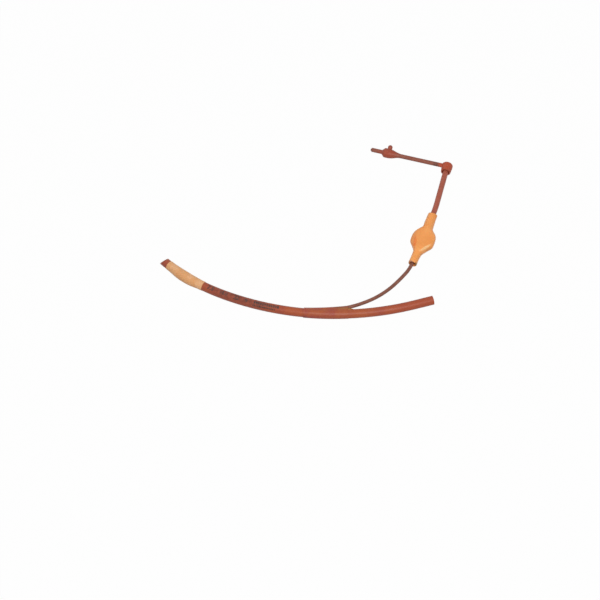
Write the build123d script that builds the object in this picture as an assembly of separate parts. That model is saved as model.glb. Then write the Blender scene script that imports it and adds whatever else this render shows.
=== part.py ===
from build123d import *
import os
from math import acos, asin, cos, degrees, pi, radians, sin, tan

os.makedirs("parts", exist_ok=True)

# A reusable red rubber tracheal tube with a cuff, lying on its side on a table, in millimetres.
# Z is up, X runs along the tube's length, the tip points to -X and the bend opens towards +Y.
# Distances along the tube are measured on its centre line from the machine end.

# Main tube
tube_od = 10.0
tube_bore = 7.5
machine_end_x = 138.07
machine_end_y = -96.67
machine_heading = 198.0  # degrees from +X, from the machine end towards the tip
machine_run = 20.0  # straight length behind the machine end
shaft_radius = 283.0  # bend of the long middle stretch
shaft_length = 222.0
tip_radius = 210.0  # closer bend of the stretch that carries the cuff
tip_length = 75.0
bevel_angle = 38.0  # degrees between the tip's cut and a square cut
tip_edge_round = 0.4

# Inflation channel in the tube's wall
channel_diameter = 0.7
port_diameter = 1.4
port_from_cuff_end = 20.0

# Take-off sleeve
sleeve_start = 95.0
sleeve_length = 49.0
sleeve_skin = 0.5  # rubber round the tube and over the line, at the sleeve's toe
sleeve_mouth_skin = 0.2  # the same at its mouth, where it is feathered on to the tube
sleeve_mouth_offset = 7.2  # between the centres of the tube and the line at the sleeve's mouth
sleeve_toe_offset = 3.3  # the same at the sleeve's toe
takeoff_angle = 25.0  # degrees by which the line lies above the inner side of the bend
sleeve_stations = 8

# Inflation line
line_od = 4.0
line_bore = 1.6
line_start = 134.0  # distance along the tube where the line's slanted end lies
line_step = 13.0  # spacing of the route's points inside the sleeve
line_route = [(61.11, -103.41, 8.0), (76.81, -93.21, 6.3), (90.81, -80.21, 5.0), (103.31, -64.91, 4.7)]
line_lead = 5.5  # length of the line's last run outside the balloon's mouth
line_past_bush = 1.0

# Cuff
cuff_length = 48.4
cuff_from_tip = 8.1
cuff_wall = 0.25
cuff_band = 6.0  # cemented length at each end
cuff_swell = [0.3, 0.75, 0.95, 0.8, 0.35]  # slack of its radius at even steps between the bands

# Pilot balloon
balloon_x = 115.67
balloon_y = -45.27
balloon_heading = 72.2
balloon_length = 76.1
balloon_wall = 1.2
pouch_start = 17.5
pouch_end = 53.0
pouch_shoulder = 11.0  # length of each slanting side
pouch_width = 26.8
pouch_end_width = 10.4
pouch_thickness = 12.0
pouch_corner = 6.0
pouch_rim_round = 3.0  # round the upper face
pouch_base_round = 5.0  # round the lower face
line_neck_od = 9.5
tube_neck_od = 10.2
neck_flare = 9.0  # length over which each neck widens into the pouch
neck_overlap = 3.0  # how far outside the pouch each flare begins
core_share = 0.95  # the necks' size where they cross the pouch, as a share of its thickness
tube_neck_slant = 20.0  # degrees by which the filling tube's mouth leans back at the top

# Bush between the inflation line and its neck
bush_od = 6.5
bush_length = 8.0
bush_recess = 2.5

# Filling tube
filling_od = 6.1
filling_bore = 4.2
filling_in_neck = 13.0
filling_bend_radius = 150.0
filling_bend = 5.6  # degrees
filling_run = 56.0  # straight length behind the bend

# Stopper
collar_length = 11.0
collar_mouth_od = 10.6
collar_mouth_bore = 8.2
collar_mouth_depth = 2.5
collar_round = 1.8
collar_flare = 0.6  # flared share of its length
port_recess = 1.0  # how far the filling tube's end lies inside the collar
strap_diameter = 4.7
strap_from_end = 2.8
strap_length = 52.4
strap_heading = 163.2
plug_head_diameter = 10.5
plug_taper = 15.0
plug_crown = 4.0
plug_shoulder = 3.6
pin_diameter = 4.6
pin_length = 12.4
knob_diameter = 5.2
knob_reach = 6.9  # from the plug's axis to the knob's centre
knob_before_crown = 0.5
knob_stem = 0.92  # stem's size as a share of the knob's
knob_tilt = 30.0  # degrees above level

# Places that follow from the sizes above
axis_height = tube_od / 2 + sleeve_skin
balloon_height = pouch_thickness / 2
plug_height = plug_head_diameter / 2
tube_length = machine_run + shaft_length + tip_length
cuff_end = tube_length - cuff_from_tip
cuff_start = cuff_end - cuff_length
up = Vector(0, 0, 1)


def tube_centre_line(extra=0.0):
    """The tube's centre line: a straight machine end and two tangent bends."""
    start = Vector(machine_end_x, machine_end_y, axis_height)
    away = Vector(cos(radians(machine_heading)), sin(radians(machine_heading)), 0)
    run = Line(start, start + away * machine_run)
    shaft = JernArc(run @ 1, run % 1, shaft_radius, -degrees(shaft_length / shaft_radius))
    tip = JernArc(shaft @ 1, shaft % 1, tip_radius, -degrees((tip_length + extra) / tip_radius))
    return Wire([run, shaft, tip])


centre_line = tube_centre_line(extra=tube_od)


def tube_plane(distance, angle=0.0):
    """The plane square to the tube at a distance, its x towards the inner side and turned up by an angle."""
    origin = centre_line.position_at(distance, PositionMode.LENGTH)
    along = centre_line.tangent_at(distance, PositionMode.LENGTH)
    inner = along.cross(up)
    return Plane(origin, x_dir=inner * cos(radians(angle)) + up * sin(radians(angle)), z_dir=along)


def beside_tube(distance, offset):
    """A point on the take-off side of the tube, at an offset from its centre line."""
    plane = tube_plane(distance, takeoff_angle)
    return plane.origin + plane.x_dir * offset


def channel_path(start, stop, offset):
    """A path beside the centre line, parallel to it, between two distances."""
    inward = offset * cos(radians(takeoff_angle))
    bends = [(machine_run, machine_run + shaft_length, shaft_radius)]
    bends.append((machine_run + shaft_length, tube_length, tip_radius))
    pieces = []
    for low, high, radius in bends:
        low, high = max(low, start), min(high, stop)
        if high > low:
            along = tube_plane(low).z_dir
            turn = -degrees((high - low) / radius)
            pieces.append(JernArc(beside_tube(low, offset), along, radius - inward, turn))
    return Wire(pieces)


def make_tube_body():
    """The tube's outside without its bore, cut on the bevel at the tip."""
    blank = sweep(tube_plane(0) * Circle(tube_od / 2), path=centre_line)
    return blank - bevel_cut()


def bevel_plane():
    """The plane of the tip's slanted cut, which faces up."""
    plane = tube_plane(tube_length)
    slant = plane.z_dir * cos(radians(bevel_angle)) + up * sin(radians(bevel_angle))
    return Plane(plane.origin, x_dir=plane.x_dir, z_dir=slant)


def bevel_cut():
    """A block beyond the slanted cut."""
    size = 4 * tube_od
    return bevel_plane() * Box(size, size, size, align=(Align.CENTER, Align.CENTER, Align.MIN))


def make_main_tube():
    """The shaft with its bore, the channel in its wall, and the channel's two ports."""
    bore = sweep(tube_plane(0) * Circle(tube_bore / 2), path=centre_line)
    tube = make_tube_body() - bore
    slant = bevel_plane()
    tip_edges = tube.edges().filter_by(lambda e: abs((e.center() - slant.origin).dot(slant.z_dir)) < 0.01)
    wall = (tube_od - tube_bore) / 2
    tube = fillet(tip_edges, min(tip_edge_round, 0.4 * wall))
    mid_wall = (tube_od + tube_bore) / 4
    first_port = line_port()
    second_port = cuff_end - port_from_cuff_end
    path = channel_path(first_port, second_port, mid_wall)
    section = tube_plane(first_port, takeoff_angle) * Pos(mid_wall, 0) * Circle(channel_diameter / 2)
    tube -= sweep(section, path=path)
    for distance in (first_port, second_port):
        tube -= port_drill(distance, mid_wall)
    return tube


def line_port():
    """The distance of the port that opens under the line's slanted end."""
    return line_start - line_step / 2


def port_drill(distance, mid_wall):
    """A short hole from the channel out through the wall."""
    plane = tube_plane(distance, takeoff_angle)
    outward = Plane(plane.origin + plane.x_dir * mid_wall, z_dir=plane.x_dir)
    return outward * extrude(Circle(port_diameter / 2), tube_od / 4)


def cuff_profile(wall_inside):
    """Sections of the cuff, whose slack lies above the tube, as the table presses it flat below."""
    sections = []
    slack_start = cuff_start + cuff_band
    slack_length = cuff_length - 2 * cuff_band
    steps = len(cuff_swell) + 1
    band_radius = tube_od / 2 + cuff_wall
    places = [(slack_start, 0.0), (slack_start + slack_length, 0.0)]
    for i, swell in enumerate(cuff_swell):
        places.append((slack_start + slack_length * (i + 1) / steps, swell))
    if not wall_inside:
        places += [(cuff_start, 0.0), (cuff_start + cuff_band / 2, 0.0)]
        places += [(cuff_end, 0.0), (cuff_end - cuff_band / 2, 0.0)]
    for distance, swell in sorted(places):
        radius = band_radius + swell
        if wall_inside:
            radius -= 2 * cuff_wall if swell == 0 else cuff_wall
        section = tube_plane(distance) * Circle(radius)
        sections.append(section.moved(Location(up * swell)))
    return sections


def make_cuff():
    """The thin latex sleeve: two cemented bands with a slack stretch between them."""
    outside = loft(cuff_profile(wall_inside=False))
    slack_space = loft(cuff_profile(wall_inside=True))
    return outside - slack_space - make_tube_body()


def saddle_outline(distance, offset):
    """The sleeve's section: a big arc round the tube and a small arc over the line, joined by flat flanks."""
    skin = skin_thickness(distance)
    big = tube_od / 2 + skin
    small = line_od / 2 + skin
    lean = acos((big - small) / offset)
    big_x, big_y = big * cos(lean), big * sin(lean)
    small_x, small_y = offset + small * cos(lean), small * sin(lean)
    round_tube = ThreePointArc((big_x, big_y), (-big, 0), (big_x, -big_y))
    flank = Line((big_x, -big_y), (small_x, -small_y))
    over_line = ThreePointArc((small_x, -small_y), (offset + small, 0), (small_x, small_y))
    other_flank = Line((small_x, small_y), (big_x, big_y))
    return tube_plane(distance, takeoff_angle) * make_face([round_tube, flank, over_line, other_flank])


def skin_thickness(distance):
    """The sleeve's skin at a distance, which thins towards its mouth."""
    share = (distance - sleeve_start) / sleeve_length
    return sleeve_mouth_skin + (sleeve_skin - sleeve_mouth_skin) * share


def line_offset(distance):
    """How far the line's centre lies from the tube's at a distance inside the sleeve."""
    share = (distance - sleeve_start) / sleeve_length
    return sleeve_mouth_offset + (sleeve_toe_offset - sleeve_mouth_offset) * share


def make_joint_sleeve():
    """The moulded sleeve that binds the line's slanted end to the tube."""
    sections = []
    for i in range(sleeve_stations):
        distance = sleeve_start + sleeve_length * i / (sleeve_stations - 1)
        sections.append(saddle_outline(distance, line_offset(distance)))
    return loft(sections) - make_tube_body() - line_body(line_od)


def line_points():
    """The line's route: beside the tube, across to the balloon by hand-set points, and into its neck."""
    start = [line_start - i * line_step for i in range(int((line_start - sleeve_start) / line_step) + 1)]
    points = [beside_tube(distance, line_offset(distance)) for distance in start]
    points += [Vector(*p) for p in line_route]
    for along in (-line_lead, bush_recess + bush_length + line_past_bush):
        points.append(balloon_place().position + balloon_axis() * along)
    return points


def bend_radii(points):
    """The largest tangent arc that each corner's two runs allow."""
    radii = []
    for before, corner, after in zip(points, points[1:], points[2:]):
        run_in, run_out = corner - before, after - corner
        half_turn = radians(run_in.get_angle(run_out)) / 2
        radii.append(0.45 * min(run_in.length, run_out.length) / tan(half_turn))
    return radii


def line_body(diameter):
    """A round solid of a given diameter along the line's whole route."""
    points = line_points()
    path = FilletPolyline(*points, radius=bend_radii(points))
    start = Plane(points[0], z_dir=points[1] - points[0])
    return sweep(start * Circle(diameter / 2), path=path)


def make_inflation_line():
    """The thin tube, with its first end cut on the slant by the main tube that it lies on."""
    return line_body(line_od) - line_body(line_bore) - make_tube_body()


def print_line():
    """The route's points, runs and radii, and the tube's volume against its section times its length."""
    points = line_points()
    radii = bend_radii(points)
    length = FilletPolyline(*points, radius=radii).length
    section = pi * line_od**2 / 4
    print("line points", [tuple(round(c, 2) for c in p) for p in points])
    print("line runs", [round((b - a).length, 1) for a, b in zip(points, points[1:])])
    print("line radii", [round(r, 1) for r in radii])
    print("line length", round(length, 2), "section x length", round(section * length, 1))
    print("volume before its slanted cut and bore", round(line_body(line_od).volume, 1))


def balloon_axis():
    return Vector(cos(radians(balloon_heading)), sin(radians(balloon_heading)), 0)


def balloon_place():
    """Where the balloon's own frame lies: its x runs from the line's mouth to the filling tube's mouth."""
    return Pos(balloon_x, balloon_y, balloon_height) * Rot(0, 0, balloon_heading)


def pouch_blank(inset):
    """A flat six-sided pouch with rounded corners and rims, set in by a wall."""
    half, end_half = pouch_width / 2 - inset, pouch_end_width / 2 - inset
    first, last = pouch_start + inset, pouch_end - inset
    shoulder = pouch_shoulder
    side = [(first, end_half), (first + shoulder, half), (last - shoulder, half), (last, end_half)]
    outline = Polygon(*side, *[(x, -y) for x, y in reversed(side)], align=None)
    corners = [v for v in outline.vertices() if abs(abs(v.Y) - half) < 0.01]
    outline = fillet(corners, pouch_corner - inset)
    blank = extrude(outline, pouch_thickness / 2 - inset, both=True)
    blank = fillet(blank.faces().sort_by(Axis.Z)[-1].edges(), pouch_rim_round - inset)
    return fillet(blank.faces().sort_by(Axis.Z)[0].edges(), pouch_base_round - inset)


def neck_blank():
    """Both necks, turned about the balloon's axis, flaring where they run into the pouch."""
    line_r, tube_r = line_neck_od / 2, tube_neck_od / 2
    core = core_share * pouch_thickness / 2
    line_flare, tube_flare = pouch_start - neck_overlap, pouch_end + neck_overlap
    core_start, core_end = line_flare + neck_flare, tube_flare - neck_flare
    profile = [
        Line((0, 0), (0, line_r)),
        Line((0, line_r), (line_flare, line_r)),
        Spline((line_flare, line_r), (core_start, core), tangents=[(1, 0), (1, 0)]),
        Line((core_start, core), (core_end, core)),
        Spline((core_end, core), (tube_flare, tube_r), tangents=[(1, 0), (1, 0)]),
        Line((tube_flare, tube_r), (balloon_length, tube_r)),
        Line((balloon_length, tube_r), (balloon_length, 0)),
        Line((balloon_length, 0), (0, 0)),
    ]
    return revolve(make_face(profile), axis=Axis.X)


def make_pilot_balloon():
    """The hollow moulded pouch with a bored neck at each end."""
    shell = pouch_blank(0.0) + neck_blank() - pouch_blank(balloon_wall) - slanted_mouth()
    middle = (pouch_start + pouch_end) / 2
    along_x = Rot(0, 90, 0)
    from_start = (Align.CENTER, Align.CENTER, Align.MIN)
    line_hole = Cylinder(bush_od / 2, middle, align=from_start)
    tube_hole = Cylinder(filling_od / 2, balloon_length - middle, align=from_start)
    shell = shell - along_x * line_hole - Pos(middle, 0, 0) * along_x * tube_hole
    return balloon_place() * shell


def slanted_mouth():
    """A block beyond the slanted cut of the filling tube's mouth, which is longest at the bottom."""
    size = 2 * tube_neck_od
    block = Box(size, size, size, align=(Align.MIN, Align.CENTER, Align.CENTER))
    return Pos(balloon_length, 0, -tube_neck_od / 2) * Rot(0, -tube_neck_slant, 0) * block


def make_line_bush():
    """The short bush that packs the thin line into its neck."""
    ring = Circle(bush_od / 2) - Circle(line_od / 2)
    return balloon_place() * Pos(bush_recess, 0, 0) * Rot(0, 90, 0) * extrude(ring, bush_length)


def filling_path():
    """The filling tube's centre line: straight in the neck, a slight bend outside it, then straight."""
    start = balloon_place().position + balloon_axis() * (balloon_length - filling_in_neck)
    run = Line(start, start + balloon_axis() * filling_in_neck)
    bend = JernArc(run @ 1, run % 1, filling_bend_radius, filling_bend)
    return Wire([run, bend, Line(bend @ 1, bend @ 1 + (bend % 1) * filling_run)])


def make_filling_tube():
    path = filling_path()
    start = Plane(path @ 0, z_dir=path % 0)
    outside = sweep(start * Circle(filling_od / 2), path=path)
    return outside - sweep(start * Circle(filling_bore / 2), path=path)


def collar_place():
    """The collar's own frame: z runs along the filling tube, from the collar's mouth to its far end."""
    path = filling_path()
    mouth = path @ 1 + (path % 1) * (port_recess - collar_length)
    return Plane(mouth, x_dir=up, z_dir=path % 1)


def make_collar():
    """The flared collar's outside, before its bore and its cupped mouth are cut."""
    far_r, mouth_r = balloon_height, collar_mouth_od / 2
    flare_end = collar_flare * collar_length
    outline = [(0, 0), (mouth_r, 0), (far_r, flare_end), (far_r, collar_length), (0, collar_length)]
    blank = revolve(Plane.XZ * Polygon(*outline, align=None), axis=Axis.Z)
    rims = blank.edges().filter_by(GeomType.CIRCLE).sort_by(Axis.Z)
    return fillet(rims[-1], collar_round)


def plug_axis():
    """The start and the direction of the strap, which slopes down until the plug's head meets the table."""
    place = collar_place()
    start = place.origin + place.z_dir * (collar_length - strap_from_end)
    drop = asin((start.Z - plug_height) / (strap_length + plug_taper + plug_crown))
    level = Vector(cos(radians(strap_heading)), sin(radians(strap_heading)), 0)
    return start, level * cos(drop) - up * sin(drop)


def make_plug():
    """Strap, plug head, thumb knob and pin, drawn along the strap."""
    strap_r, head_r, pin_r = strap_diameter / 2, plug_head_diameter / 2, pin_diameter / 2
    head_start = strap_length
    crown_start = head_start + plug_taper
    crown_end = crown_start + plug_crown
    pin_start = crown_end + plug_shoulder
    pin_end = pin_start + pin_length
    shoulder_slope = (plug_shoulder, (pin_r - head_r) / 2)
    profile = [
        Line((0, 0), (0, strap_r)),
        Line((0, strap_r), (head_start, strap_r)),
        Spline((head_start, strap_r), (crown_start, head_r), tangents=[(1, 0), (1, 0)]),
        Line((crown_start, head_r), (crown_end, head_r)),
        Spline((crown_end, head_r), (pin_start, pin_r), tangents=[shoulder_slope, shoulder_slope]),
        Line((pin_start, pin_r), (pin_end - pin_r / 2, pin_r)),
        RadiusArc((pin_end - pin_r / 2, pin_r), (pin_end, pin_r / 2), -pin_r / 2),
        Line((pin_end, pin_r / 2), (pin_end, 0)),
        Line((pin_end, 0), (0, 0)),
    ]
    body = revolve(make_face(profile), axis=Axis.X)
    knob_r = knob_diameter / 2
    stem = Cylinder(knob_r * knob_stem, knob_reach, align=(Align.CENTER, Align.CENTER, Align.MIN))
    knob = stem + Pos(0, 0, knob_reach) * Sphere(knob_r)
    return body + Pos(crown_start - knob_before_crown, 0, 0) * Rot(90 - knob_tilt, 0, 0) * knob


def make_stopper():
    """One rubber moulding: the collar, the strap and the plug."""
    place = collar_place()
    start, along = plug_axis()
    side = along.cross(up)
    plug = Plane(start, x_dir=along, z_dir=side.cross(along)) * make_plug()
    bore = extrude(Circle(filling_od / 2), collar_length)
    mouth = extrude(Circle(collar_mouth_bore / 2), collar_mouth_depth)
    return place * make_collar() + plug - place * bore - place * mouth


print_line()
nodes = {
    "main_tube": make_main_tube(),
    "cuff": make_cuff(),
    "joint_sleeve": make_joint_sleeve(),
    "inflation_line": make_inflation_line(),
    "pilot_balloon": make_pilot_balloon(),
    "line_bush": make_line_bush(),
    "filling_tube": make_filling_tube(),
    "stopper": make_stopper(),
}
for name, shape in nodes.items():
    export_step(shape, f"parts/{name}.step")
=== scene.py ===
import math

import bmesh
import bpy
from mathutils import Matrix, Vector


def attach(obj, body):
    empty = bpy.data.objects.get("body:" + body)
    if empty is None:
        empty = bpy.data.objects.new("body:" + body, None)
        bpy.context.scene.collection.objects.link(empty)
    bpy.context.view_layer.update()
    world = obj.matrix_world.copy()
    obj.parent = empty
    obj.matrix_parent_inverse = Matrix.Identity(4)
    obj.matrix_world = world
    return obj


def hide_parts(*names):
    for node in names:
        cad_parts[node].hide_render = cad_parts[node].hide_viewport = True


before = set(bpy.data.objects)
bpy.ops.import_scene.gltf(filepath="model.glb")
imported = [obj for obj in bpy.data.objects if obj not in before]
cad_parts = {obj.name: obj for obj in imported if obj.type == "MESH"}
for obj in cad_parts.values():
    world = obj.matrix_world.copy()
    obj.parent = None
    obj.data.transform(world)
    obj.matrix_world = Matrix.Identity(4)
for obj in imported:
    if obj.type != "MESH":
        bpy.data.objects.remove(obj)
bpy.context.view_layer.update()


# Camera
# The photograph looks down on the table at about 50 degrees through a long lens, so a long lens far
# away stands in for it. The picture's middle falls on the table just inside the tube's bend.
def add_object(name, data):
    """A new object in the scene, made of a mesh, a curve, a lamp or a camera."""
    made = bpy.data.objects.new(name, data)
    bpy.context.scene.collection.objects.link(made)
    return made


mm = 0.001  # one millimetre in metres, which Blender works in
picture_width = 655.8 * mm
lens_length = 1600.0
camera_data = bpy.data.cameras.new("camera")
camera_data.lens = lens_length
camera_data.sensor_width = 36.0
camera_data.clip_end = 100.0
camera = add_object("camera", camera_data)
aim = Vector((-7.3, -91.8, 0)) * mm
view_rise = math.radians(50)
camera_distance = picture_width * lens_length / camera_data.sensor_width
camera.location = aim + Vector((0, -math.cos(view_rise), math.sin(view_rise))) * camera_distance
camera.rotation_euler = (math.pi / 2 - view_rise, 0, 0)
bpy.context.scene.camera = camera


# Inflation line
# A thin extruded tube of red rubber. One end is cemented under the take-off sleeve, the other is
# packed into the balloon's lower neck, and what lies between rests loosely on the table.
def linear(colour):
    """An sRGB hex colour as linear red, green, blue and alpha."""
    parts = [int(colour[i:i + 2], 16) / 255 for i in (1, 3, 5)]
    return tuple(c / 12.92 if c <= 0.04045 else ((c + 0.055) / 1.055) ** 2.4 for c in parts) + (1.0,)


def add_node(tree, kind, settings=None, links=None):
    """Adds a node with its properties, its inputs' values and its inputs' links."""
    node = tree.nodes.new(kind)
    for key, value in (settings or {}).items():
        if isinstance(key, int) or key in node.inputs:
            node.inputs[key].default_value = value
        else:
            setattr(node, key, value)
    for key, source in (links or {}).items():
        tree.links.new(source, node.inputs[key])
    return node


def new_material(name):
    """A material, with its tree and its surface shader."""
    material = bpy.data.materials.new(name)
    material.use_nodes = True
    return material, material.node_tree, material.node_tree.nodes["Principled BSDF"]


def along_edge(tree, colour, place, other, start, stop, reach, amount):
    """Blends another colour in along a straight edge between two points in mm, seen from above."""
    middle = (Vector(start) + Vector(stop)) / 2
    run = Vector(stop) - Vector(start)
    moved = add_node(tree, "ShaderNodeVectorMath",
                     {"operation": "SUBTRACT", 1: (middle.x * mm, middle.y * mm, 0)}, {0: place})
    lined = add_node(tree, "ShaderNodeVectorRotate",
                     {"rotation_type": "Z_AXIS", "Angle": -math.atan2(run.y, run.x)},
                     {0: moved.outputs[0]})
    stretch = (2 / (run.length * mm), 1 / (reach * mm), 0)
    scaled = add_node(tree, "ShaderNodeVectorMath", {"operation": "MULTIPLY", 1: stretch},
                      {0: lined.outputs[0]})
    away = add_node(tree, "ShaderNodeVectorMath", {"operation": "LENGTH"}, {0: scaled.outputs[0]})
    near = add_node(tree, "ShaderNodeMapRange",
                    {"From Min": 0.45, "From Max": 1.0, "To Min": amount, "To Max": 0.0,
                     "interpolation_type": "SMOOTHSTEP"},
                    {"Value": away.outputs["Value"]})
    return add_node(tree, "ShaderNodeMix", {"data_type": "RGBA", 7: linear(other)},
                    {0: near.outputs[0], 6: colour.outputs[2]})


def rubber(name, main, dark, bloom, roughness, zones=(), edges=(), mottle=9.0, smudges=None):
    """Vulcanised rubber: a warm satin surface, clouded by its pigment and dulled by a dusty bloom.

    Each of zones is another colour, the point in mm that it surrounds, and how far it reaches. smudges
    is one more zone, broken into blots and kept to the upper side. Each of edges is what along_edge
    takes. mottle is the size of the clouds in mm.
    """
    material, tree, shader = new_material(name)
    place = add_node(tree, "ShaderNodeTexCoord").outputs["Object"]
    clouds = add_node(tree, "ShaderNodeTexNoise", {"Scale": 1000 / mottle, "Detail": 4.0},
                      {"Vector": place})
    cloud = add_node(tree, "ShaderNodeMapRange", {"From Min": 0.38, "From Max": 0.66},
                     {"Value": clouds.outputs[0]})
    colour = add_node(tree, "ShaderNodeMix", {"data_type": "RGBA", 6: linear(main), 7: linear(dark)},
                      {0: cloud.outputs[0]})
    for other, centre, reach in zones:
        away = add_node(tree, "ShaderNodeVectorMath",
                        {"operation": "DISTANCE", 1: Vector(centre) * mm}, {0: place})
        near = add_node(tree, "ShaderNodeMapRange",
                        {"From Min": 0.3 * reach * mm, "From Max": reach * mm, "To Min": 0.85,
                         "To Max": 0.0, "interpolation_type": "SMOOTHSTEP"},
                        {"Value": away.outputs["Value"]})
        colour = add_node(tree, "ShaderNodeMix", {"data_type": "RGBA", 7: linear(other)},
                          {0: near.outputs[0], 6: colour.outputs[2]})
    for other, start, stop, reach, amount in edges:
        colour = along_edge(tree, colour, place, other, start, stop, reach, amount)
    if smudges:
        other, centre, reach = smudges
        blot_size = 4.5
        upper_from = 6.5
        upper_to = 9
        away = add_node(tree, "ShaderNodeVectorMath",
                        {"operation": "DISTANCE", 1: Vector(centre) * mm}, {0: place})
        near = add_node(tree, "ShaderNodeMapRange",
                        {"From Min": 0.7 * reach * mm, "From Max": reach * mm, "To Min": 0.8,
                         "To Max": 0.0},
                        {"Value": away.outputs["Value"]})
        blots = add_node(tree, "ShaderNodeTexNoise", {"Scale": 1000 / blot_size, "Detail": 3.0},
                         {"Vector": place})
        blot = add_node(tree, "ShaderNodeMapRange", {"From Min": 0.4, "From Max": 0.6},
                        {"Value": blots.outputs[0]})
        height = add_node(tree, "ShaderNodeSeparateXYZ", {}, {0: place})
        upper = add_node(tree, "ShaderNodeMapRange",
                         {"From Min": upper_from * mm, "From Max": upper_to * mm},
                         {"Value": height.outputs["Z"]})
        blotted = add_node(tree, "ShaderNodeMath", {"operation": "MULTIPLY"},
                           {0: near.outputs[0], 1: blot.outputs[0]})
        above = add_node(tree, "ShaderNodeMath", {"operation": "MULTIPLY"},
                         {0: blotted.outputs[0], 1: upper.outputs[0]})
        colour = add_node(tree, "ShaderNodeMix", {"data_type": "RGBA", 7: linear(other)},
                          {0: above.outputs[0], 6: colour.outputs[2]})
    # Bloom comes out as specks of about half a millimetre, drawn at 1.4 mm so that they show.
    speck_size = 1.4
    specks = add_node(tree, "ShaderNodeTexNoise", {"Scale": 1000 / speck_size, "Detail": 2.0},
                      {"Vector": place})
    speck = add_node(tree, "ShaderNodeMapRange", {"From Min": 0.5, "From Max": 0.75, "To Max": 0.4},
                     {"Value": specks.outputs[0]})
    dusty = add_node(tree, "ShaderNodeMix", {"data_type": "RGBA", 7: linear(bloom)},
                     {0: speck.outputs[0], 6: colour.outputs[2]})
    gloss = add_node(tree, "ShaderNodeMapRange",
                     {"To Min": roughness - 0.07, "To Max": roughness + 0.09},
                     {"Value": clouds.outputs[0]})
    skin = add_node(tree, "ShaderNodeBump", {"Strength": 0.5, "Distance": 0.06 * mm},
                    {"Height": specks.outputs[0]})
    tree.links.new(dusty.outputs[2], shader.inputs["Base Color"])
    tree.links.new(gloss.outputs[0], shader.inputs["Roughness"])
    tree.links.new(skin.outputs[0], shader.inputs["Normal"])
    shader.inputs["IOR"].default_value = 1.52
    shader.inputs["Specular IOR Level"].default_value = 0.3
    return material


line_diameter = 4.0
line_points = [(19.71, -111.8, 7.67), (32.49, -111.11, 8.11), (45.18, -109.84, 8.54),
               (61.11, -103.41, 8.0), (76.81, -93.21, 6.3), (90.81, -80.21, 5.0),
               (103.31, -64.91, 4.7), (113.99, -50.51, 6.0), (119.19, -34.32, 6.0)]
line_curve = bpy.data.curves.new("inflation_line_soft", "CURVE")
line_curve.dimensions = "3D"
line_curve.bevel_depth = line_diameter / 2 * mm
line_curve.bevel_resolution = 6
line_curve.resolution_u = 16
line_curve.use_fill_caps = True
line_spline = line_curve.splines.new("NURBS")
line_spline.points.add(len(line_points) - 1)
for control, point in zip(line_spline.points, line_points):
    control.co = (*(Vector(point) * mm), 1.0)
line_spline.order_u = 3
line_spline.use_endpoint_u = True
line = add_object("inflation_line_soft", line_curve)
line_curve.materials.append(
    rubber("extruded_line_rubber", "#8A5646", "#7A493A", "#A07A6A", 0.45, mottle=5.0))
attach(line, "root")
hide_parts("inflation_line")


# Main tube
# Thick-walled red rubber, extruded, bent on a former while it cures, cut square at the machine end
# and on a slant at the tip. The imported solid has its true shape, so it stays and takes this finish.
def finish(node, material):
    """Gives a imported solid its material."""
    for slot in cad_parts[node].material_slots:
        slot.material = material


# The rubber is browner and smudged round the print, and warmer at the machine end and by the sleeve.
finish("main_tube", rubber(
    "vulcanised_red_rubber", "#AB532E", "#9A4434", "#B4664C", 0.44, mottle=11.0,
    zones=[("#954A38", (-78, -98, 6), 48), ("#A64B2E", (120, -101, 6), 60),
           ("#AC5630", (57, -112, 8), 22)],
    smudges=("#6E3626", (-76, -97, 10.5), 36)))


# Printed marks
# Brown ink rubber-stamped along the top of the tube: plain size numbers and an arrowhead, then two
# rows of small blocks that stand for lettering. It has half worn off, so the rubber shows through.
tube_radius = 5.0
machine_end = Vector((138.07, -96.67, 5.5))
machine_heading = math.radians(198)
tube_runs = ((20.0, math.inf), (222.0, 283.0), (75.0, 210.0))  # each run's length and bend radius


def tube_place(distance):
    """The tube's centre, in mm, at a distance from its machine end."""
    point = machine_end.copy()
    heading = machine_heading
    for length, radius in tube_runs:
        step = min(distance, length)
        turn = step / radius
        chord = 2 * radius * math.sin(turn / 2) if turn else step
        point += Vector((math.cos(heading - turn / 2), math.sin(heading - turn / 2), 0)) * chord
        heading -= turn
        distance -= step
    return point


def tube_path(name, start, stop):
    """A curve on the tube's centre line, from one distance to another, for a tree to follow."""
    curve = bpy.data.curves.new(name, "CURVE")
    curve.dimensions = "3D"
    spline = curve.splines.new("POLY")
    steps = 80
    spline.points.add(steps)
    for i, point in enumerate(spline.points):
        point.co = (*(tube_place(start + (stop - start) * i / steps) * mm), 1.0)
    return add_object(name, curve)


def new_tree(name, inputs):
    """A geometry node tree with its input and output nodes, and each input's identifier by name."""
    tree = bpy.data.node_groups.new(name, "GeometryNodeTree")
    tree.interface.new_socket("Geometry", in_out="INPUT", socket_type="NodeSocketGeometry")
    keys = {}
    for label, kind, value in inputs:
        made = tree.interface.new_socket(label, in_out="INPUT", socket_type=kind)
        if value is not None:
            made.default_value = value
        keys[label] = made.identifier
    tree.interface.new_socket("Geometry", in_out="OUTPUT", socket_type="NodeSocketGeometry")
    return tree, add_node(tree, "NodeGroupInput"), add_node(tree, "NodeGroupOutput"), keys


def settled(source, tree, values, name):
    """The plain mesh that a tree makes of an object, as a new object without the tree."""
    modifier = source.modifiers.new(name, "NODES")
    modifier.node_group = tree
    for identifier, value in values.items():
        modifier[identifier] = value
    bpy.context.view_layer.update()
    graph = bpy.context.evaluated_depsgraph_get()
    mesh = bpy.data.meshes.new_from_object(source.evaluated_get(graph), depsgraph=graph)
    source.modifiers.clear()
    return add_object(name, mesh)


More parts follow.
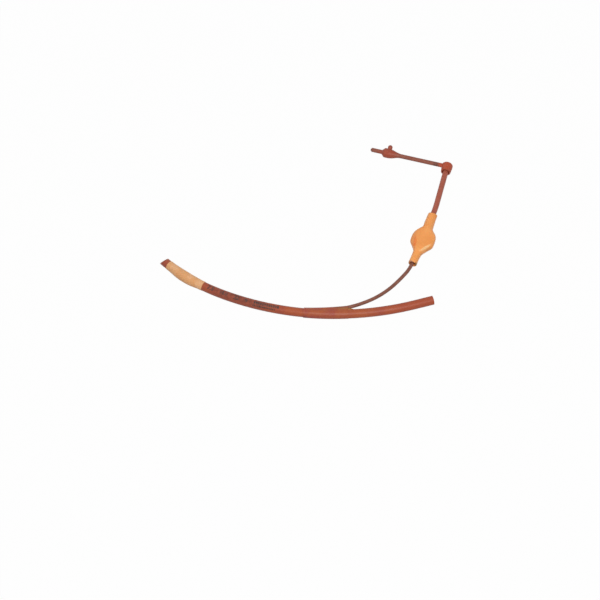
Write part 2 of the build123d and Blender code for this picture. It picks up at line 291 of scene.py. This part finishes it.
def around_tube(tree, path, at, angle, radius):
    """Adds the nodes that find a point round the path: its position and its outward direction."""
    sample = add_node(tree, "GeometryNodeSampleCurve", {"mode": "LENGTH"}, {"Curves": path, "Length": at})
    side = add_node(tree, "ShaderNodeVectorMath", {"operation": "CROSS_PRODUCT", 1: (0, 0, 1)},
                    {0: sample.outputs["Tangent"]})
    across = add_node(tree, "ShaderNodeMath", {"operation": "COSINE"}, {0: angle})
    upward = add_node(tree, "ShaderNodeMath", {"operation": "SINE"}, {0: angle})
    level = add_node(tree, "ShaderNodeVectorMath", {"operation": "SCALE"},
                     {0: side.outputs[0], "Scale": across.outputs[0]})
    raised = add_node(tree, "ShaderNodeCombineXYZ", {}, {"Z": upward.outputs[0]})
    outward = add_node(tree, "ShaderNodeVectorMath", {}, {0: level.outputs[0], 1: raised.outputs[0]})
    reach = add_node(tree, "ShaderNodeVectorMath", {"operation": "SCALE"},
                     {0: outward.outputs[0], "Scale": radius})
    point = add_node(tree, "ShaderNodeVectorMath", {},
                     {0: sample.outputs["Position"], 1: reach.outputs[0]})
    return point.outputs[0], outward.outputs[0]


# Stamping ink is matt. It is nearly black where it is thick and brown where it has rubbed thin.
ink_patch_size = 2.5
ink, ink_tree, ink_shader = new_material("worn_stamping_ink")
ink_place = add_node(ink_tree, "ShaderNodeTexCoord").outputs["Object"]
ink_wear = add_node(ink_tree, "ShaderNodeTexNoise", {"Scale": 1000 / ink_patch_size, "Detail": 4.0},
                    {"Vector": ink_place})
ink_left = add_node(ink_tree, "ShaderNodeMapRange", {"From Min": 0.42, "From Max": 0.62},
                    {"Value": ink_wear.outputs[0]})
ink_colour = add_node(ink_tree, "ShaderNodeMix",
                      {"data_type": "RGBA", 6: linear("#3E261F"), 7: linear("#68382C")},
                      {0: ink_left.outputs[0]})
ink_tree.links.new(ink_colour.outputs[2], ink_shader.inputs["Base Color"])
ink_shader.inputs["Roughness"].default_value = 0.55

marks_start = 262.0  # the stamped strip runs from here towards the machine end
marks_stop = 160.0
ink_thickness = 0.03
ink_lift = 0.07
ink_spread = 0.28  # by how much each stroke has spread

# Each number, the distance of its middle from the machine end, and its height.
stamp = bmesh.new()
for text, middle, height in (("7.5", 250.5, 6.4), ("10.0", 235.0, 5.6), ("22", 219.5, 6.4)):
    letters = bpy.data.curves.new("number", "FONT")
    letters.body = text
    letters.size = height * mm
    letters.extrude = ink_thickness / 2 * mm
    letters.offset = ink_spread * mm
    letters.resolution_u = 3
    letters.align_x = "CENTER"
    letters.align_y = "CENTER"
    number = add_object("number", letters)
    bpy.context.view_layer.update()
    graph = bpy.context.evaluated_depsgraph_get()
    shape = bpy.data.meshes.new_from_object(number.evaluated_get(graph), depsgraph=graph)
    for vertex in shape.vertices:
        vertex.co.x += (marks_start - middle) * mm
    stamp.from_mesh(shape)
    bpy.data.objects.remove(number)

arrow_middle = 208.0
arrow_rise = 0.4
arrow_radius = 2.9
arrow = bmesh.ops.create_cone(stamp, cap_ends=True, segments=3, radius1=arrow_radius * mm,
                              radius2=arrow_radius * mm, depth=ink_thickness * mm)
bmesh.ops.rotate(stamp, verts=arrow["verts"], matrix=Matrix.Rotation(math.pi, 3, "Z"))
bmesh.ops.translate(stamp, verts=arrow["verts"],
                    vec=((marks_start - arrow_middle) * mm, arrow_rise * mm, 0))

# Wrapped round the tube, a long edge would cut through it, so the ink is sliced every 0.4 mm.
slice_width = 0.4
for level in range(-9, 10):
    bmesh.ops.bisect_plane(stamp, geom=stamp.verts[:] + stamp.edges[:] + stamp.faces[:],
                           plane_co=(0, slice_width * level * mm, 0), plane_no=(0, 1, 0))
stamp_mesh = bpy.data.meshes.new("stamp")
stamp.to_mesh(stamp_mesh)
stamp.free()
stamp_flat = add_object("stamp", stamp_mesh)
marks_path = tube_path("marks_path", marks_start, marks_stop)

tree, given, made, keys = new_tree("stamped_marks", [
    ("Path", "NodeSocketObject", None),
    ("Tube radius", "NodeSocketFloat", (tube_radius + ink_lift) * mm),
    ("Row angle", "NodeSocketFloat", math.radians(71)),
    ("Ink", "NodeSocketMaterial", None),
    ("Seed", "NodeSocketInt", 5),
    ("Large blocks", "NodeSocketInt", 12),
    ("Small blocks", "NodeSocketInt", 14)])
path = add_node(tree, "GeometryNodeObjectInfo", {}, {"Object": given.outputs["Path"]})
joined = add_node(tree, "GeometryNodeJoinGeometry")
tree.links.new(given.outputs["Geometry"], joined.inputs[0])
# Each row: its number of blocks, where the first one is along and across the strip, how far apart
# they are, and the smallest and largest block.
for count, first, pitch, smallest, largest in (
        ("Large blocks", (63.5, 0.6), 2.4, (1.6, 2.8), (2.2, 3.6)),
        ("Small blocks", (62.5, -3.0), 1.85, (0.9, 1.4), (1.6, 2.2))):
    spots = add_node(tree, "GeometryNodeMeshLine",
                     {"Offset": (pitch * mm, 0, 0), "Start Location": (first[0] * mm, first[1] * mm, 0)},
                     {"Count": given.outputs[count]})
    size = add_node(tree, "FunctionNodeRandomValue",
                    {"data_type": "FLOAT_VECTOR", 0: (*smallest, 1.0), 1: (*largest, 1.0)},
                    {"Seed": given.outputs["Seed"]})
    block = add_node(tree, "GeometryNodeMeshCube",
                     {"Size": (1 * mm, 1 * mm, ink_thickness * mm), "Vertices Y": 9})
    blocks = add_node(tree, "GeometryNodeInstanceOnPoints", {},
                      {"Points": spots.outputs[0], "Instance": block.outputs[0], "Scale": size.outputs[0]})
    tree.links.new(blocks.outputs[0], joined.inputs[0])
real = add_node(tree, "GeometryNodeRealizeInstances", {}, {0: joined.outputs[0]})
flat_place = add_node(tree, "GeometryNodeInputPosition")
flat = add_node(tree, "ShaderNodeSeparateXYZ", {}, {0: flat_place.outputs[0]})
turned = add_node(tree, "ShaderNodeMath", {"operation": "DIVIDE"},
                  {0: flat.outputs["Y"], 1: given.outputs["Tube radius"]})
angle = add_node(tree, "ShaderNodeMath", {"operation": "ADD"},
                 {0: turned.outputs[0], 1: given.outputs["Row angle"]})
radius = add_node(tree, "ShaderNodeMath", {"operation": "ADD"},
                  {0: flat.outputs["Z"], 1: given.outputs["Tube radius"]})
point, outward = around_tube(tree, path.outputs["Geometry"], flat.outputs["X"], angle.outputs[0],
                             radius.outputs[0])
wrapped = add_node(tree, "GeometryNodeSetPosition", {}, {"Geometry": real.outputs[0], "Position": point})
inked = add_node(tree, "GeometryNodeSetMaterial", {},
                 {"Geometry": wrapped.outputs[0], "Material": given.outputs["Ink"]})
tree.links.new(inked.outputs[0], made.inputs[0])
printed_marks = settled(stamp_flat, tree, {keys["Path"]: marks_path, keys["Ink"]: ink}, "printed_marks")
bpy.data.objects.remove(stamp_flat)
bpy.data.objects.remove(marks_path)
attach(printed_marks, "root")


# Cuff
# A dipped sleeve of thin pale latex, drawn over the tip and cemented in a band at each end. Between
# the bands it is slack, so it stands off the tube in soft folds and the red rubber warms its colour.
cuff_start = 260.5
cuff_stop = 308.9
cuff_wall = 0.25
cuff_gap = 0.02
latex_cloud_size = 11
latex_skin_size = 5.0

# Dipped latex is a satin film with faint clouds, and light bleeds a little way into it.
latex, latex_tree, latex_shader = new_material("dipped_cuff_latex")
latex_place = add_node(latex_tree, "ShaderNodeTexCoord").outputs["Object"]
latex_noise = add_node(latex_tree, "ShaderNodeTexNoise",
                       {"Scale": 1000 / latex_cloud_size, "Detail": 2.0, "Distortion": 0.6},
                       {"Vector": latex_place})
latex_cloud = add_node(latex_tree, "ShaderNodeMapRange", {"From Min": 0.36, "From Max": 0.64},
                       {"Value": latex_noise.outputs[0]})
latex_colour = add_node(latex_tree, "ShaderNodeMix",
                        {"data_type": "RGBA", 6: linear("#EDB484"), 7: linear("#E3A56E")},
                        {0: latex_cloud.outputs[0]})
latex_fine = add_node(latex_tree, "ShaderNodeTexNoise", {"Scale": 1000 / latex_skin_size, "Detail": 1.0},
                      {"Vector": latex_place})
latex_skin = add_node(latex_tree, "ShaderNodeBump", {"Strength": 0.35, "Distance": 0.1 * mm},
                      {"Height": latex_fine.outputs[0]})
latex_tree.links.new(latex_colour.outputs[2], latex_shader.inputs["Base Color"])
latex_tree.links.new(latex_skin.outputs[0], latex_shader.inputs["Normal"])
latex_shader.inputs["Roughness"].default_value = 0.5
latex_shader.inputs["IOR"].default_value = 1.51
latex_shader.inputs["Specular IOR Level"].default_value = 0.35
latex_shader.inputs["Subsurface Weight"].default_value = 0.12
latex_shader.inputs["Subsurface Radius"].default_value = (1.0, 0.55, 0.3)
latex_shader.inputs["Subsurface Scale"].default_value = 1.2 * mm

cuff_path = tube_path("cuff_path", cuff_start, cuff_stop)
tree, given, made, keys = new_tree("slack_sleeve", [
    ("Tube radius", "NodeSocketFloat", (tube_radius + cuff_gap) * mm),
    ("Wall", "NodeSocketFloat", cuff_wall * mm),
    ("Slack", "NodeSocketFloat", 0.85 * mm),
    ("Length", "NodeSocketFloat", (cuff_stop - cuff_start) * mm),
    ("Fold depth", "NodeSocketFloat", 0.3 * mm),
    ("Lean", "NodeSocketVector", (-0.66, -0.69, 0.12)),
    ("Seed", "NodeSocketFloat", 4.0),
    ("Latex", "NodeSocketMaterial", None)])
grid = add_node(tree, "GeometryNodeMeshGrid", {"Vertices X": 241, "Vertices Y": 97})
spread = add_node(tree, "ShaderNodeSeparateXYZ", {}, {0: grid.outputs["UV Map"]})
# The grid's first direction runs along the outside and back along the inside.
doubled = add_node(tree, "ShaderNodeMath", {"operation": "MULTIPLY_ADD", 1: 2.0, 2: -1.0},
                   {0: spread.outputs["X"]})
folded = add_node(tree, "ShaderNodeMath", {"operation": "ABSOLUTE"}, {0: doubled.outputs[0]})
share = add_node(tree, "ShaderNodeMath", {"operation": "SUBTRACT", 0: 1.0}, {1: folded.outputs[0]})
outside = add_node(tree, "ShaderNodeMath", {"operation": "LESS_THAN", 1: 0.5}, {0: spread.outputs["X"]})
along = add_node(tree, "ShaderNodeMath", {"operation": "MULTIPLY"},
                 {0: share.outputs[0], 1: given.outputs["Length"]})
turn = add_node(tree, "ShaderNodeMath", {"operation": "MULTIPLY", 1: -2 * math.pi},
                {0: spread.outputs["Y"]})
# Two profiles from one end to the other: how slack the sleeve is, and its wall, which thins to
# nothing over half a millimetre at each end, where the cement feathers it on to the tube.
profiles = []
for heights in (
        ((0.05, 0.0), (0.2, 0.4), (0.36, 0.88), (0.5, 1.0), (0.64, 0.86), (0.8, 0.36), (0.95, 0.0)),
        ((0.004, 0.7), (0.012, 1.0), (0.988, 1.0), (0.996, 0.7))):
    profile = add_node(tree, "ShaderNodeFloatCurve", {}, {"Value": share.outputs[0]})
    profile_line = profile.mapping.curves[0]
    profile_line.points[0].location = (0.0, 0.0)
    profile_line.points[1].location = (1.0, 0.0)
    for at, height in heights:
        profile_line.points.new(at, height)
    profile.mapping.update()
    profiles.append(profile)
slack_shape, wall_shape = profiles
slack = add_node(tree, "ShaderNodeMath", {"operation": "MULTIPLY"},
                 {0: slack_shape.outputs[0], 1: given.outputs["Slack"]})
wall = add_node(tree, "ShaderNodeMath", {"operation": "MULTIPLY"},
                {0: wall_shape.outputs[0], 1: given.outputs["Wall"]})
outer_wall = add_node(tree, "ShaderNodeMath", {"operation": "MULTIPLY"},
                      {0: wall.outputs[0], 1: outside.outputs[0]})
radius = add_node(tree, "ShaderNodeMath", {"operation": "ADD"},
                  {0: given.outputs["Tube radius"], 1: outer_wall.outputs[0]})
slack_radius = add_node(tree, "ShaderNodeMath", {"operation": "ADD"},
                        {0: radius.outputs[0], 1: slack.outputs[0]})
point, outward = around_tube(tree, given.outputs["Geometry"], along.outputs[0], turn.outputs[0],
                             slack_radius.outputs[0])
# The slack hangs to the outside of the bend and lies flat where it rests on the table.
inside_rest = 0.32
outside_rest = 0.1
leaning = add_node(tree, "ShaderNodeVectorMath", {"operation": "SCALE"},
                   {0: given.outputs["Lean"], "Scale": slack.outputs[0]})
sagged = add_node(tree, "ShaderNodeVectorMath", {}, {0: point, 1: leaning.outputs[0]})
sagged_parts = add_node(tree, "ShaderNodeSeparateXYZ", {}, {0: sagged.outputs[0]})
lowest = add_node(tree, "ShaderNodeMapRange", {"To Min": inside_rest * mm, "To Max": outside_rest * mm},
                  {"Value": outside.outputs[0]})
rested = add_node(tree, "ShaderNodeMath", {"operation": "MAXIMUM"},
                  {0: sagged_parts.outputs["Z"], 1: lowest.outputs[0]})
placed = add_node(tree, "ShaderNodeCombineXYZ", {},
                  {"X": sagged_parts.outputs["X"], "Y": sagged_parts.outputs["Y"], "Z": rested.outputs[0]})
# Folds run mostly along the sleeve, so the noise is stretched that way, and they fade out below.
fold_place = add_node(tree, "ShaderNodeCombineXYZ", {}, {"X": share.outputs[0]})
fold_round = add_node(tree, "ShaderNodeVectorMath", {"operation": "MULTIPLY_ADD", 1: (2.0, 2.0, 2.0)},
                      {0: outward, 2: fold_place.outputs[0]})
fold_stretch = add_node(tree, "ShaderNodeVectorMath", {"operation": "MULTIPLY_ADD", 1: (3.0, 0.0, 0.0)},
                        {0: fold_place.outputs[0], 2: fold_round.outputs[0]})
fold_noise = add_node(tree, "ShaderNodeTexNoise",
                      {"noise_dimensions": "4D", "Scale": 1.3, "Detail": 3.0},
                      {"Vector": fold_stretch.outputs[0], "W": given.outputs["Seed"]})
fold_height = add_node(tree, "ShaderNodeMapRange", {"From Min": 0.35, "From Max": 0.7},
                       {"Value": fold_noise.outputs[0]})
above = add_node(tree, "ShaderNodeSeparateXYZ", {}, {0: outward})
topside = add_node(tree, "ShaderNodeMapRange", {"From Min": -0.8, "From Max": 0.2},
                   {"Value": above.outputs["Z"]})
fold_mask = add_node(tree, "ShaderNodeMath", {"operation": "MULTIPLY"},
                     {0: topside.outputs[0], 1: slack_shape.outputs[0]})
fold_share = add_node(tree, "ShaderNodeMath", {"operation": "MULTIPLY"},
                      {0: fold_height.outputs[0], 1: fold_mask.outputs[0]})
fold_outer = add_node(tree, "ShaderNodeMath", {"operation": "MULTIPLY"},
                      {0: fold_share.outputs[0], 1: outside.outputs[0]})
fold_depth = add_node(tree, "ShaderNodeMath", {"operation": "MULTIPLY"},
                      {0: fold_outer.outputs[0], 1: given.outputs["Fold depth"]})
fold = add_node(tree, "ShaderNodeVectorMath", {"operation": "SCALE"},
                {0: outward, "Scale": fold_depth.outputs[0]})
moved = add_node(tree, "GeometryNodeSetPosition", {},
                 {"Geometry": grid.outputs["Mesh"], "Position": placed.outputs[0],
                  "Offset": fold.outputs[0]})
closed = add_node(tree, "GeometryNodeMergeByDistance", {"Distance": 0.002 * mm},
                  {"Geometry": moved.outputs[0]})
smooth = add_node(tree, "GeometryNodeSetShadeSmooth", {}, {"Geometry": closed.outputs[0]})
finished = add_node(tree, "GeometryNodeSetMaterial", {},
                    {"Geometry": smooth.outputs[0], "Material": given.outputs["Latex"]})
tree.links.new(finished.outputs[0], made.inputs[0])
cuff = settled(cuff_path, tree, {keys["Latex"]: latex}, "cuff_soft")
bpy.data.objects.remove(cuff_path)

# The cuff's mesh closes on itself, so its doubles are merged and its faces are turned outwards.
cuff_shell = bmesh.new()
cuff_shell.from_mesh(cuff.data)
bmesh.ops.remove_doubles(cuff_shell, verts=cuff_shell.verts, dist=0.001 * mm)
bmesh.ops.recalc_face_normals(cuff_shell, faces=cuff_shell.faces)
cuff_shell.to_mesh(cuff.data)
cuff_shell.free()
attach(cuff, "root")
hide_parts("cuff")


# Take-off sleeve
# A moulded saddle of red rubber, cemented round the tube and over the slanted end of the inflation
# line. Its imported solid stays. Old cement has oozed out at its mouth and dried to a golden web.
# The sleeve's lower left corner, at its step on the tube, is darkened: painted shade.
finish("joint_sleeve", rubber(
    "moulded_sleeve_rubber", "#A95430", "#9E4638", "#AD6E4C", 0.42, mottle=8.0,
    zones=[("#7A3434", (-2, -120.2, 3), 5)],
    edges=[("#84503A", (24, -111.5), (54, -109.2), 3.0, 0.7),
           ("#9C6A38", (30, -113.1), (52, -112.7), 1.5, 0.65)]))

# Dried cement is glossy amber, in paler and darker patches.
cement_patch_size = 2
cement, cement_tree, cement_shader = new_material("dried_rubber_cement")
cement_place = add_node(cement_tree, "ShaderNodeTexCoord").outputs["Object"]
cement_noise = add_node(cement_tree, "ShaderNodeTexNoise",
                        {"Scale": 1000 / cement_patch_size, "Detail": 3.0}, {"Vector": cement_place})
cement_colour = add_node(cement_tree, "ShaderNodeMix",
                         {"data_type": "RGBA", 6: linear("#D9A050"), 7: linear("#B9853C")},
                         {0: cement_noise.outputs[0]})
cement_tree.links.new(cement_colour.outputs[2], cement_shader.inputs["Base Color"])
cement_shader.inputs["Roughness"].default_value = 0.3
cement_shader.inputs["IOR"].default_value = 1.5


def join_rings(shell, rings):
    """Joins each ring of points to the next with a band of faces."""
    for ring, following in zip(rings, rings[1:]):
        sides = len(ring)
        for k in range(sides):
            after = (k + 1) % sides
            shell.faces.new((ring[k], ring[after], following[after], following[k]))


def smooth_piece(name, shell, material):
    """A closed shell as an object, smooth and facing outwards, with its material."""
    bmesh.ops.recalc_face_normals(shell, faces=shell.faces)
    for face in shell.faces:
        face.smooth = True
    mesh = bpy.data.meshes.new(name)
    shell.to_mesh(mesh)
    shell.free()
    mesh.materials.append(material)
    return add_object(name, mesh)


web_start = 97.0  # along the tube, 2 mm inside the sleeve's mouth
web_length = 8.5
web_in_tube = 4.2  # how far from the tube's centre the web begins, inside its wall
web_in_line = 1.0  # how far short of the line's centre it ends, inside the line
web_thickness = 1.35
web_edge = 0.12
web_steps = 10
web_sides = 12
line_exit, line_next = line_points[2:4]
# Away from the sleeve's mouth the web narrows and thins, down to its free edge in the crotch.
web = bmesh.new()
web_rings = []
for i in range(web_steps + 1):
    share = i / web_steps
    distance = web_start - web_length * share
    tube_centre = tube_place(distance)
    line_share = (tube_centre.x - line_exit[0]) / (line_next[0] - line_exit[0])
    line_centre = Vector(line_exit).lerp(Vector(line_next), max(line_share, 0.0))
    across = (line_centre - tube_centre).normalized()
    near = tube_centre + across * web_in_tube
    far = near.lerp(line_centre - across * web_in_line, 1.0 - 0.75 * share ** 1.5)
    middle = (near + far) / 2
    half_width = (far - near).length / 2
    half_height = web_thickness * (1 - share) ** 0.7 + web_edge
    along = (tube_place(distance - 1) - tube_centre).normalized()
    upward = along.cross(across)
    ring = []
    for k in range(web_sides):
        turn = 2 * math.pi * k / web_sides
        ring.append(web.verts.new((middle + across * half_width * math.cos(turn)
                                   + upward * half_height * math.sin(turn)) * mm))
    web_rings.append(ring)
join_rings(web, web_rings)
web.faces.new(web_rings[0])
web.faces.new(web_rings[-1])
cement_web = smooth_piece("cement_web", web, cement)
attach(cement_web, "root")


# Pilot balloon
# A hollow pouch of thick orange latex, moulded flat with a tubular neck at each end. One side slopes
# off its flat face, the other is a moulded rim, and both mouths show the cut wall.
balloon_cloud_size = 14
balloon_skin_size = 7.0

# Moulded latex is smooth and waxy, softly clouded, and light bleeds a little way into it.
balloon_latex, balloon_tree, balloon_shader = new_material("moulded_balloon_latex")
balloon_place = add_node(balloon_tree, "ShaderNodeTexCoord").outputs["Object"]
balloon_noise = add_node(balloon_tree, "ShaderNodeTexNoise",
                         {"Scale": 1000 / balloon_cloud_size, "Detail": 3.0, "Distortion": 0.4},
                         {"Vector": balloon_place})
balloon_cloud = add_node(balloon_tree, "ShaderNodeMapRange", {"From Min": 0.36, "From Max": 0.64},
                         {"Value": balloon_noise.outputs[0]})
balloon_tint = add_node(balloon_tree, "ShaderNodeMix",
                        {"data_type": "RGBA", 6: linear("#FFAB60"), 7: linear("#F79F54")},
                        {0: balloon_cloud.outputs[0]})
balloon_fine = add_node(balloon_tree, "ShaderNodeTexNoise",
                        {"Scale": 1000 / balloon_skin_size, "Detail": 1.0}, {"Vector": balloon_place})
balloon_skin = add_node(balloon_tree, "ShaderNodeBump", {"Strength": 0.3, "Distance": 0.1 * mm},
                        {"Height": balloon_fine.outputs[0]})
# The left side is deeper orange along its fold and duller on the slope beside it, both painted shade.
# The rim at the lower right is paler, a painted highlight, with a brown band below it that is painted
# shade. The lower mouth's lip is darker, tan on the left and olive on the right: painted shade in the bore.
for other, start, stop, reach, amount in (
        ("#F0792E", (119.0, -6.0), (117.8, -28.0), 2.5, 0.7),
        ("#BE8850", (123.6, -34.4), (140.0, -21.3), 1.8, 0.9),
        ("#FFC88C", (121.2, -32.6), (138.2, -19.3), 1.5, 0.95),
        ("#E8975A", (118.5, 6.0), (112.0, -30.0), 5.0, 0.5),
        ("#C08A70", (109.9, -43.4), (117.2, -45.8), 1.5, 0.8),
        ("#7A6234", (118.2, -46.0), (121.6, -47.2), 1.7, 0.8)):
    balloon_tint = along_edge(balloon_tree, balloon_tint, balloon_place, other, start, stop, reach, amount)
balloon_gloss = add_node(balloon_tree, "ShaderNodeMapRange", {"To Min": 0.34, "To Max": 0.5},
                         {"Value": balloon_noise.outputs[0]})
balloon_tree.links.new(balloon_tint.outputs[2], balloon_shader.inputs["Base Color"])
balloon_tree.links.new(balloon_skin.outputs[0], balloon_shader.inputs["Normal"])
balloon_tree.links.new(balloon_gloss.outputs[0], balloon_shader.inputs["Roughness"])
balloon_shader.inputs["IOR"].default_value = 1.51
balloon_shader.inputs["Specular IOR Level"].default_value = 0.35
balloon_shader.inputs["Subsurface Weight"].default_value = 0.1
balloon_shader.inputs["Subsurface Radius"].default_value = (1.0, 0.45, 0.2)
balloon_shader.inputs["Subsurface Scale"].default_value = 1.0 * mm

balloon_mouth = Vector((115.67, -45.27, 6.0))
balloon_heading = math.radians(72.2)
balloon_axis = Vector((math.cos(balloon_heading), math.sin(balloon_heading), 0))
balloon_side = Vector((-balloon_axis.y, balloon_axis.x, 0))
balloon_wall = 1.3
lip_wall = 0.7
lower_lip = 0.3
upper_lip = 74.2
slant_from = 67.0  # past this the rings lean, because the upper neck is cut on the slant
slant = math.tan(math.radians(20))
balloon_sides = 32
round_square = 2  # a section's squareness where it is round
under_share = 0.3  # how much of its squareness is left on the underside
# Each station: place along the axis, reach to the left and right, half thickness, and how square the
# upper left and right sides are.
stations = [
    (0.0, 4.2, 4.2, 4.2, 2.0, 2.0), (0.25, 4.75, 4.75, 4.7, 2.0, 2.0), (1.2, 4.9, 4.9, 4.85, 2.0, 2.0),
    (5.0, 4.6, 4.6, 4.6, 2.0, 2.0), (11.0, 4.55, 4.8, 4.8, 2.0, 2.1), (15.5, 4.5, 5.3, 5.3, 2.1, 2.5),
    (18.2, 4.7, 6.0, 5.8, 2.2, 3.0), (21.5, 6.3, 8.3, 6.0, 2.2, 3.4), (25.0, 8.8, 10.9, 6.0, 2.2, 3.4),
    (28.6, 11.5, 13.9, 6.0, 2.2, 3.4), (30.2, 12.4, 14.3, 6.0, 2.2, 3.4), (36.0, 12.9, 14.2, 6.0, 2.3, 3.2),
    (41.5, 12.5, 13.9, 6.0, 2.4, 3.0), (45.0, 11.0, 12.6, 6.0, 2.5, 2.8), (48.6, 8.6, 9.3, 6.0, 2.5, 2.6),
    (51.6, 5.2, 7.0, 5.9, 2.3, 2.3), (54.5, 4.9, 6.3, 5.6, 2.1, 2.1), (60.0, 5.4, 5.9, 5.3, 2.0, 2.0),
    (67.0, 5.3, 5.3, 5.1, 2.0, 2.0), (73.4, 5.2, 5.2, 5.1, 2.0, 2.0), (74.3, 5.0, 5.0, 5.0, 2.0, 2.0),
    (74.6, 4.5, 4.5, 4.5, 2.0, 2.0)]


def balloon_ring(shell, at, left, right, thick, square_left, square_right):
    """One section of the pouch or a neck, as a ring of points."""
    ring = []
    for k in range(balloon_sides):
        turn = 2 * math.pi * (k + 0.5) / balloon_sides
        across, up = math.cos(turn), math.sin(turn)
        reach, square = (left, square_left) if across > 0 else (right, square_right)
        if up < 0:
            square = round_square + under_share * (square - round_square)
        y = math.copysign(abs(across) ** (2 / square), across) * reach
        z = math.copysign(abs(up) ** (2 / square), up) * thick
        back = z * slant if at > slant_from else 0.0
        point = balloon_mouth + balloon_axis * (at - back) + balloon_side * y + Vector((0, 0, z))
        ring.append(shell.verts.new(point * mm))
    return ring


pouch = bmesh.new()
pouch_rings = [balloon_ring(pouch, *station) for station in stations]
for at, left, right, thick, square_left, square_right in reversed(stations):
    wall = balloon_wall if lower_lip < at < upper_lip else lip_wall
    pouch_rings.append(
        balloon_ring(pouch, at, left - wall, right - wall, thick - wall, square_left, square_right))
join_rings(pouch, pouch_rings + pouch_rings[:1])
balloon = smooth_piece("pilot_balloon_soft", pouch, balloon_latex)
rounding = balloon.modifiers.new("rounding", "SUBSURF")
rounding.levels = 2
rounding.render_levels = 2
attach(balloon, "root")
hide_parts("pilot_balloon")


# Line bush
# A short ring of the tube's own red rubber, pushed into the balloon's lower neck to pack the thin
# line into it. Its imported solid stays, and only its end shows inside the mouth.
finish("line_bush", rubber("cut_bush_rubber", "#8A4A3A", "#74392C", "#A06A50", 0.55, mottle=4.0))


# Filling tube
# A stouter extruded tube of the same red rubber, cemented into the balloon's upper neck. Air goes in
# through its far end, which lies open inside the stopper's collar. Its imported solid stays.
finish("filling_tube", rubber("extruded_filling_rubber", "#B05C48", "#A2503C", "#B87A66", 0.42, mottle=7.0))


# Stopper
# One compression moulding of red rubber: a flared collar on the filling tube's end, a strap, and a
# plug with a thumb knob and a pin. The imported solid stays. Handling has greyed the strap and the pin.
# The two small dark zones, where the strap meets the collar and at the pin's tip, are painted shade.
finish("stopper", rubber(
    "moulded_stopper_rubber", "#965644", "#864A3A", "#A87A6C", 0.46, mottle=6.0,
    zones=[("#BE4E2C", (153.5, 93.5, 8), 15), ("#A84A32", (90, 113.5, 6), 15),
           ("#6A3E34", (141.5, 95.7, 7), 5), ("#6A4A42", (68.5, 120.5, 4), 6)]))


# Table and light
# The photograph has a bare white table in a white surround with no clear shadow, so both are plain
# white to the camera. A broad key lamp stands on the camera's side, with a weaker fill on the far left.
table_half = 4  # in metres
white_share = 0.98  # the rest shows the sheet's own shading, and with it the shadow
table_mesh = bpy.data.meshes.new("table")
table_mesh.from_pydata([(-table_half, -table_half, 0), (table_half, -table_half, 0),
                        (table_half, table_half, 0), (-table_half, table_half, 0)], [], [(0, 1, 2, 3)])
table = add_object("table", table_mesh)
# A sheet of matt paper, even and without gloss. Its own colour is greyed, so that it throws less light
# back up at the rubber.
table_paper, table_tree, table_shader = new_material("white_table_paper")
table_shader.inputs["Base Color"].default_value = linear("#BCBCBC")
table_shader.inputs["Roughness"].default_value = 0.9
table_shader.inputs["Specular IOR Level"].default_value = 0.0


def seen(tree):
    """1 for a ray that shows plain white, which a camera, glossy or transmission ray does, else 0."""
    ray = add_node(tree, "ShaderNodeLightPath")
    either = add_node(tree, "ShaderNodeMath", {"operation": "MAXIMUM"},
                      {0: ray.outputs["Is Camera Ray"], 1: ray.outputs["Is Glossy Ray"]})
    return add_node(tree, "ShaderNodeMath", {"operation": "MAXIMUM"},
                    {0: either.outputs[0], 1: ray.outputs["Is Transmission Ray"]}).outputs[0]


table_share = add_node(table_tree, "ShaderNodeMath", {"operation": "MULTIPLY", 1: white_share},
                       {0: seen(table_tree)})
table_white = add_node(table_tree, "ShaderNodeEmission", {"Strength": 1.0})
table_mix = add_node(table_tree, "ShaderNodeMixShader", {},
                     {0: table_share.outputs[0], 1: table_shader.outputs[0], 2: table_white.outputs[0]})
table_tree.links.new(table_mix.outputs[0], table_tree.nodes["Material Output"].inputs["Surface"])
table_mesh.materials.append(table_paper)

surround = bpy.data.worlds.new("white_surround")
surround.use_nodes = True
surround_tree = surround.node_tree
surround_light = surround_tree.nodes["Background"]
surround_light.inputs["Color"].default_value = (1, 1, 1, 1)
surround_light.inputs["Strength"].default_value = 0.4
surround_white = add_node(surround_tree, "ShaderNodeBackground", {"Color": (1, 1, 1, 1), "Strength": 1.0})
surround_mix = add_node(
    surround_tree, "ShaderNodeMixShader", {},
    {0: seen(surround_tree), 1: surround_light.outputs[0], 2: surround_white.outputs[0]})
surround_tree.links.new(surround_mix.outputs[0], surround_tree.nodes["World Output"].inputs["Surface"])
bpy.context.scene.world = surround

# Each lamp: its name, place and width in metres, and power in watts. Both point at the origin.
for name, place, size, power in (
        ("key", (0.3, -1.15, 1.4), 0.8, 17.0),
        ("fill", (-1.1, 0.5, 1.3), 1.2, 4.5)):
    lamp_data = bpy.data.lights.new(name, "AREA")
    lamp_data.shape = "DISK"
    lamp_data.size = size
    lamp_data.energy = power
    lamp = add_object(name, lamp_data)
    lamp.location = place
    lamp.rotation_euler = (-Vector(place)).to_track_quat("-Z", "Y").to_euler()

bpy.context.scene.view_settings.view_transform = "Standard"
